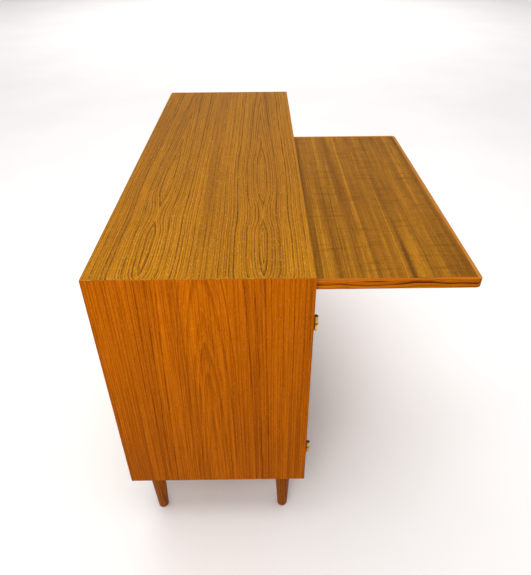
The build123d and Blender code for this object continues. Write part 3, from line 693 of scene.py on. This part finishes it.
# ---------------------------------------------------------------- legs and knobs
def make_legs():
    """Turned tapered legs with a rounded foot, a bore for the bolt, and a moulded glide let into the foot."""
    leg_low, leg_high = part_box("leg_front_left")
    leg_centre = (leg_low.x + leg_high.x) / 2
    glide_radius, glide_top = 8 * mm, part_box("foot_glides")[1].z
    glide_rim, glide_flat, glide_middle = 7.4 * mm, 6.2 * mm, 3 * mm
    bolt_radius, bolt_low = 4 * mm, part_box("leg_bolts")[0].z
    foot_radius, top_radius = 12.75 * mm, leg_high.x - leg_centre
    leg_profile = (
        (glide_radius, glide_top), (glide_radius, leg_low.z), (foot_radius - 3.9 * mm, leg_low.z),
        (foot_radius - 2.2 * mm, leg_low.z + 0.4 * mm), (foot_radius - 0.8 * mm, leg_low.z + 1.6 * mm),
        (foot_radius, leg_low.z + 3.8 * mm), (top_radius - 0.1 * mm, leg_high.z - 0.6 * mm),
        (top_radius - 0.7 * mm, leg_high.z), (bolt_radius, leg_high.z), (bolt_radius, bolt_low),
    )
    glide_profile = (
        (glide_middle, 0.0), (glide_flat, 0.0), (glide_rim, 0.4 * mm), (glide_radius, 1.3 * mm),
        (glide_radius, glide_top),
    )
    glides = []
    for seed, name in enumerate(("leg_front_left", "leg_front_right", "leg_back_left", "leg_back_right"), 71):
        low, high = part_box(name)
        place = ((low.x + high.x) / 2, (low.y + high.y) / 2, 0)
        leg = put(turn_up(name + "_turned", leg_profile, sides=64), place)
        heart = (low.x - 0.03, low.y - 0.05)
        material = solid_teak(f"teak_{name}", "Z", heart, leg_teak, seed=seed, shine=0.04)
        finish_piece(leg, material, "teak_solid", "case", name)
        glides.append(put(turn_up("glide", glide_profile, sides=40), place))
    finish_piece(weld("foot_glides_moulded", glides), plastic, "plastic", "case", "foot_glides")


def make_knobs():
    """Turned knobs, each with a spigot that fills the hole in its front."""
    bodies = {"left_door_knob": "left_door", "middle_door_knob": "middle_door", "drawer_1_knob": "drawer_1",
              "drawer_2_knob": "drawer_2", "drawer_3_knob": "drawer_3"}
    profile_in_mm = (
        (1.2, 0.0), (4.6, 0.35), (7.4, 1.0), (9.6, 2.0), (11.1, 3.3), (11.85, 4.6), (12.0, 5.6), (11.5, 6.5),
        (9.9, 7.7), (7.9, 8.9), (6.4, 10.0), (5.6, 11.2), (5.6, 12.2), (6.1, 13.4), (7.2, 14.8), (7.8, 15.6),
        (7.8, 16.0), (4.0, 16.0), (4.0, 28.0),
    )
    for seed, (name, body) in enumerate(bodies.items(), 81):
        low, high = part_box(name)
        x, z = (low.x + high.x) / 2, (low.z + high.z) / 2
        profile = [(radius * mm, height * mm) for radius, height in profile_in_mm]
        knob = put(turn_up(name + "_turned", profile, sides=64), (x, low.y, z), facing=(0, 1, 0))
        material = solid_teak(f"teak_{name}", "Y", (low.x - 0.02, low.z - 0.03), leg_teak, 3 * mm, seed=seed)
        finish_piece(knob, material, "teak_solid", body, name)


# ---------------------------------------------------------------- hinges
def hinge_half(box, wall_side, upper):
    """One hinge half: a knuckle with a domed end, the neck, and the plate that is let into the wood."""
    low, high = box
    radius = (high.x - low.x) / 2
    x, y = low.x + radius, low.y + radius
    gap, thickness, pin_radius, pin_rise, pin_play = 0.5 * mm, 1.5 * mm, 2.2 * mm, 14 * mm, 0.2 * mm
    door_gap, let_in, neck_stop = 2 * mm, 0.5 * mm, 3 * mm
    middle = (low.z + high.z) / 2
    end = high.z if upper else low.z
    out = 1 if upper else -1
    split = middle + out * gap / 2
    dome = [(radius, end - out * 3.2 * mm), (radius - 0.35 * mm, end - out * 1.9 * mm),
            (radius - 1.2 * mm, end - out * 0.9 * mm), (radius - 2.6 * mm, end - out * 0.25 * mm), (0.5 * mm, end)]
    body = [(radius - 0.45 * mm, split), (radius, split + out * 0.45 * mm), (radius, split + out * 5 * mm)]
    if upper:
        bore = pin_radius + pin_play
        inner = [(bore, middle + pin_rise + pin_play), (bore, split)]
    else:
        inner = [(pin_radius, middle + pin_rise), (pin_radius, split)]
    knuckle = put(turn_up("knuckle", inner + body + dome, sides=40), (x, y, 0))
    wall = x + wall_side * door_gap / 2
    across = sorted((wall, wall + wall_side * thickness))
    heights = sorted((split, end - out * neck_stop))
    neck = block("neck", (across[0], y, heights[0]), (across[1], case_front + let_in, heights[1]))
    plate = block("plate", (across[0], case_front, low.z), (across[1], high.y, high.z))
    return [knuckle, neck, plate]


def make_hinges():
    """Barrel hinges whose lower halves stay on the case and whose upper halves turn with the doors."""
    case_side, left_side, middle_side = [], [], []
    for box in solids("hinge_case_halves"):
        case_side += hinge_half(box, -1 if box[0].x < 0 else 1, upper=False)
    for box in solids("left_hinge_door_halves"):
        left_side += hinge_half(box, 1, upper=True)
    for box in solids("middle_hinge_door_halves"):
        middle_side += hinge_half(box, -1, upper=True)
    # painted shade: the colour is darkened at the knuckles' ends and in the split between the halves
    levels = {round(corner.z, 4) for box in solids("hinge_case_halves") for corner in box}
    heights = sorted(levels)
    splits = [(low + high) / 2 for low, high in zip(heights[::2], heights[1::2])]
    hinge_brass = metal("hinge_brass", *brass_tones, dark_heights=heights + splits, dark_reach=2.4 * mm)
    for name, pieces, body, node in (
        ("hinge_lower_knuckles", case_side, "case", "hinge_case_halves"),
        ("left_door_upper_knuckles", left_side, "left_door", "left_hinge_door_halves"),
        ("middle_door_upper_knuckles", middle_side, "middle_door", "middle_hinge_door_halves"),
    ):
        finish_piece(weld(name, pieces), hinge_brass, "brass", body, node)


# ---------------------------------------------------------------- screws
def slotted_screw(shank, head, length):
    """A countersunk screw that points down from its flat head at height zero, with a slot and a sharp tip."""
    taper = (head - shank) / 2
    rim, tip_radius, slot_half_width, slot_depth = 0.1 * mm, 0.2 * mm, 0.4 * mm, 0.9 * mm
    screw = turn_up("screw", (
        (tip_radius, -length), (0.45 * shank, -length + 2 * shank), (0.5 * shank, -length + 2.4 * shank),
        (0.5 * shank, -taper - rim), (head / 2 - rim, -2 * rim), (head / 2, -rim), (head / 2 - rim, 0.0),
    ), sides=28)
    cutter = block("slot", (-head, -slot_half_width, -slot_depth), (head, slot_half_width, 1 * mm),
                   bevel=0.05 * mm, segments=1)
    pick_only(screw)
    cut = screw.modifiers.new("slot", "BOOLEAN")
    cut.operation = "DIFFERENCE"
    cut.object = cutter
    bpy.ops.object.modifier_apply(modifier="slot")
    throw_away(cutter)
    return screw


def make_screws(name, body, slot, material, size, facing_of):
    """Slotted screws in place of a CAD node's plain ones.

    size is shank, head and length. facing_of says which way the head of a screw at a given x faces."""
    first = slotted_screw(*size)
    screws = []
    for low, high in solids(name):
        middle, half = (low + high) / 2, (high - low) / 2
        facing = Vector(facing_of(middle.x))
        seat = middle + Vector(side * reach for side, reach in zip(facing, half))
        screws.append(put(copy_of(first), seat, facing))
    throw_away(first)
    finish_piece(weld(name + "_slotted", screws), material, slot, body, name)


def make_all_screws():
    hinge_screw = (3.0 * mm, 5.4 * mm, 14 * mm)
    plate_screw = (4.0 * mm, 7.5 * mm, 13 * mm)
    runner_screw = (4.0 * mm, 8.0 * mm, 27 * mm)
    back_screw = (3.5 * mm, 7.0 * mm, 22 * mm)

    def towards_middle(x):
        return (1, 0, 0) if x < 0 else (-1, 0, 0)

    def always(*way):
        return lambda x: way

    make_screws("case_hinge_screws", "case", "brass", brass, hinge_screw, towards_middle)
    make_screws("left_door_hinge_screws", "left_door", "brass", brass, hinge_screw, always(-1, 0, 0))
    make_screws("middle_door_hinge_screws", "middle_door", "brass", brass, hinge_screw, always(1, 0, 0))
    make_screws("plate_screws", "case", "steel", steel, plate_screw, always(0, 0, -1))
    make_screws("runner_screws", "case", "steel", steel, runner_screw, towards_middle)
    make_screws("back_panel_screws", "case", "steel", steel, back_screw, always(0, 1, 0))


# ---------------------------------------------------------------- door catches
def make_catches():
    """Magnetic catches, each a moulded housing round two steel poles, and their plates on the doors."""
    pole_proud, pole_depth, pole_half_height = 0.6 * mm, 8 * mm, 13 * mm
    pole_offset, pole_half_width = 3.2 * mm, 0.9 * mm
    strike_screw = (2.6 * mm, 5.0 * mm, 9 * mm)
    head_proud = 0.05 * mm
    housings, poles = [], []
    for low, high in solids("door_catches"):
        x, z = (low.x + high.x) / 2, (low.z + high.z) / 2
        housings.append(block("housing", (low.x, low.y + pole_proud, low.z), high, bevel=1.2 * mm, segments=3))
        for side in (-1, 1):
            centre = x + side * pole_offset
            poles.append(block("pole", (centre - pole_half_width, low.y, z - pole_half_height),
                               (centre + pole_half_width, low.y + pole_depth, z + pole_half_height)))
    finish_piece(weld("catch_housings", housings), plastic, "plastic", "case", "door_catches")
    finish_piece(weld("catch_poles", poles), steel, "steel", "case")
    screw = slotted_screw(*strike_screw)
    for name, body in (("left_door_strike", "left_door"), ("middle_door_strike", "middle_door")):
        low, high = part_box(name)
        plate = block("plate", low, high)
        seat = ((low.x + high.x) / 2, high.y + head_proud, (low.z + high.z) / 2)
        head = put(copy_of(screw), seat, facing=(0, 1, 0))
        finish_piece(weld(name + "_plate", [plate, head]), steel, "steel", body, name)
    throw_away(screw)


# ---------------------------------------------------------------- mirror
def make_mirror():
    """The mirror plate: a sheet of glass with a wide bevel ground round its face."""
    low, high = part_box("mirror_plate")
    bevel_width, bevel_fall = 14 * mm, 1.5 * mm
    clear_selection()
    bpy.ops.mesh.primitive_cube_add(size=1, location=(low + high) / 2)
    glass = bpy.context.object
    glass.scale = high - low
    bpy.ops.object.transform_apply(location=True, rotation=False, scale=True)
    bpy.ops.object.mode_set(mode="EDIT")
    bpy.ops.mesh.select_mode(type="FACE")
    bpy.ops.mesh.select_all(action="DESELECT")
    bpy.ops.object.mode_set(mode="OBJECT")
    for face in glass.data.polygons:
        face.select = face.normal.y > 0.5
    bpy.ops.object.mode_set(mode="EDIT")
    bpy.ops.transform.translate(value=(0, -bevel_fall, 0))
    bpy.ops.mesh.inset(thickness=bevel_width, depth=bevel_fall)
    bpy.ops.mesh.select_all(action="SELECT")
    bpy.ops.mesh.normals_make_consistent(inside=False)
    bpy.ops.object.mode_set(mode="OBJECT")
    bpy.ops.object.shade_flat()
    glass.name = "bevelled_mirror"
    finish_piece(glass, silvered_glass("mirror_silver", low.y), "mirror_glass", "left_door", "mirror_plate")


# ---------------------------------------------------------------- the whole cabinet
brass_tones = ((0.80, 0.56, 0.22), (0.50, 0.33, 0.11), (0.13, 0.07, 0.03))
brass = metal("aged_brass", *brass_tones)
steel = metal("zinc_steel", (0.66, 0.67, 0.66), (0.45, 0.46, 0.44), (0.22, 0.20, 0.16))
plastic = moulded_plastic("brown_plastic", (0.036, 0.022, 0.013), (0.055, 0.036, 0.022))
set_camera()
set_light()
make_floor()
dress_boards()
dress_solid_wood()
dress_hidden_wood()
dress_fittings()
make_legs()
make_knobs()
make_hinges()
make_all_screws()
make_catches()
make_mirror()
